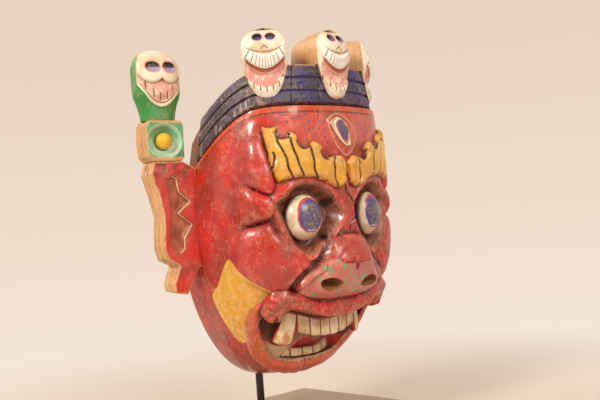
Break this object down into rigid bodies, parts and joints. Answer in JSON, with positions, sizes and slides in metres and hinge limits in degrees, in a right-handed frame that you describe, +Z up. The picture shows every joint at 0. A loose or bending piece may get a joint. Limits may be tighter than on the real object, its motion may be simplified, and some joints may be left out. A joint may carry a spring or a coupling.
{
  "type": "painted wooden guardian mask",
  "caption": "Carved and painted wooden mask of a wrathful guardian with a skull crown, ears and open mouth, lifted off a bent rod stand.",
  "frame": {"origin": "centre of the base plate's underside, on the surface that the stand rests on", "axes": "+Z up, -Y the way the face looks, +X to the mask's own left"},
  "size_m": [0.325, 0.2088, 0.415],
  "materials": {
    "red_paint": "satin varnished red paint over carved wood, worn brown in the hollows",
    "navy_paint": "dull navy paint, rubbed on the ribs and violet in the grooves",
    "ivory_paint": "ivory paint with bare wood behind",
    "eye_paint": "cream gloss paint with a blue-violet iris",
    "tooth_paint": "cream satin paint with dark red lines",
    "tongue_paint": "red satin paint",
    "mint_paint": "mint and green paint, bare wood on the outer side",
    "yellow_paint": "yellow satin paint",
    "bare_wood": "bare pale wood",
    "dark_steel": "dark polished steel",
    "grey_felt": "thin grey felt",
    "base_paint": "matt taupe paint"
  },
  "bodies": {
    "stand": {"base_plate": "base_paint", "support_rod": "dark_steel", "crown_plate": "dark_steel", "crown_pad": "grey_felt", "chin_collar": "dark_steel", "chin_pad": "grey_felt", "foot_washer": "dark_steel", "foot_nut": "dark_steel"},
    "mask": {"face_block": "red_paint", "crown_band": "navy_paint", "upper_teeth": "tooth_paint", "lower_teeth": "tooth_paint", "tongue": "tongue_paint", "crown_skull_right": "ivory_paint", "crown_skull_peg_right": "bare_wood", "crown_skull_centre": "ivory_paint", "crown_skull_peg_centre": "bare_wood", "crown_skull_left": "ivory_paint", "crown_skull_peg_left": "bare_wood", "eyeball_right": "eye_paint", "eyeball_left": "eye_paint", "ear_right": "red_paint", "ear_left": "red_paint", "ear_dowel_upper_right": "bare_wood", "ear_dowel_upper_left": "bare_wood", "ear_dowel_lower_right": "bare_wood", "ear_dowel_lower_left": "bare_wood", "ear_long_peg_right": "bare_wood", "ear_long_peg_left": "bare_wood", "rosette_block_right": "mint_paint", "rosette_block_left": "mint_paint", "rosette_boss_right": "yellow_paint", "rosette_boss_left": "yellow_paint", "ear_skull_right": "ivory_paint", "ear_skull_left": "ivory_paint"}
  },
  "joints": [
    {"name": "lift_off", "type": "slide", "parent": "stand", "child": "mask", "axis": [0, -0.7071, 0.7071], "range_m": [0, 0.25]}
  ]
}
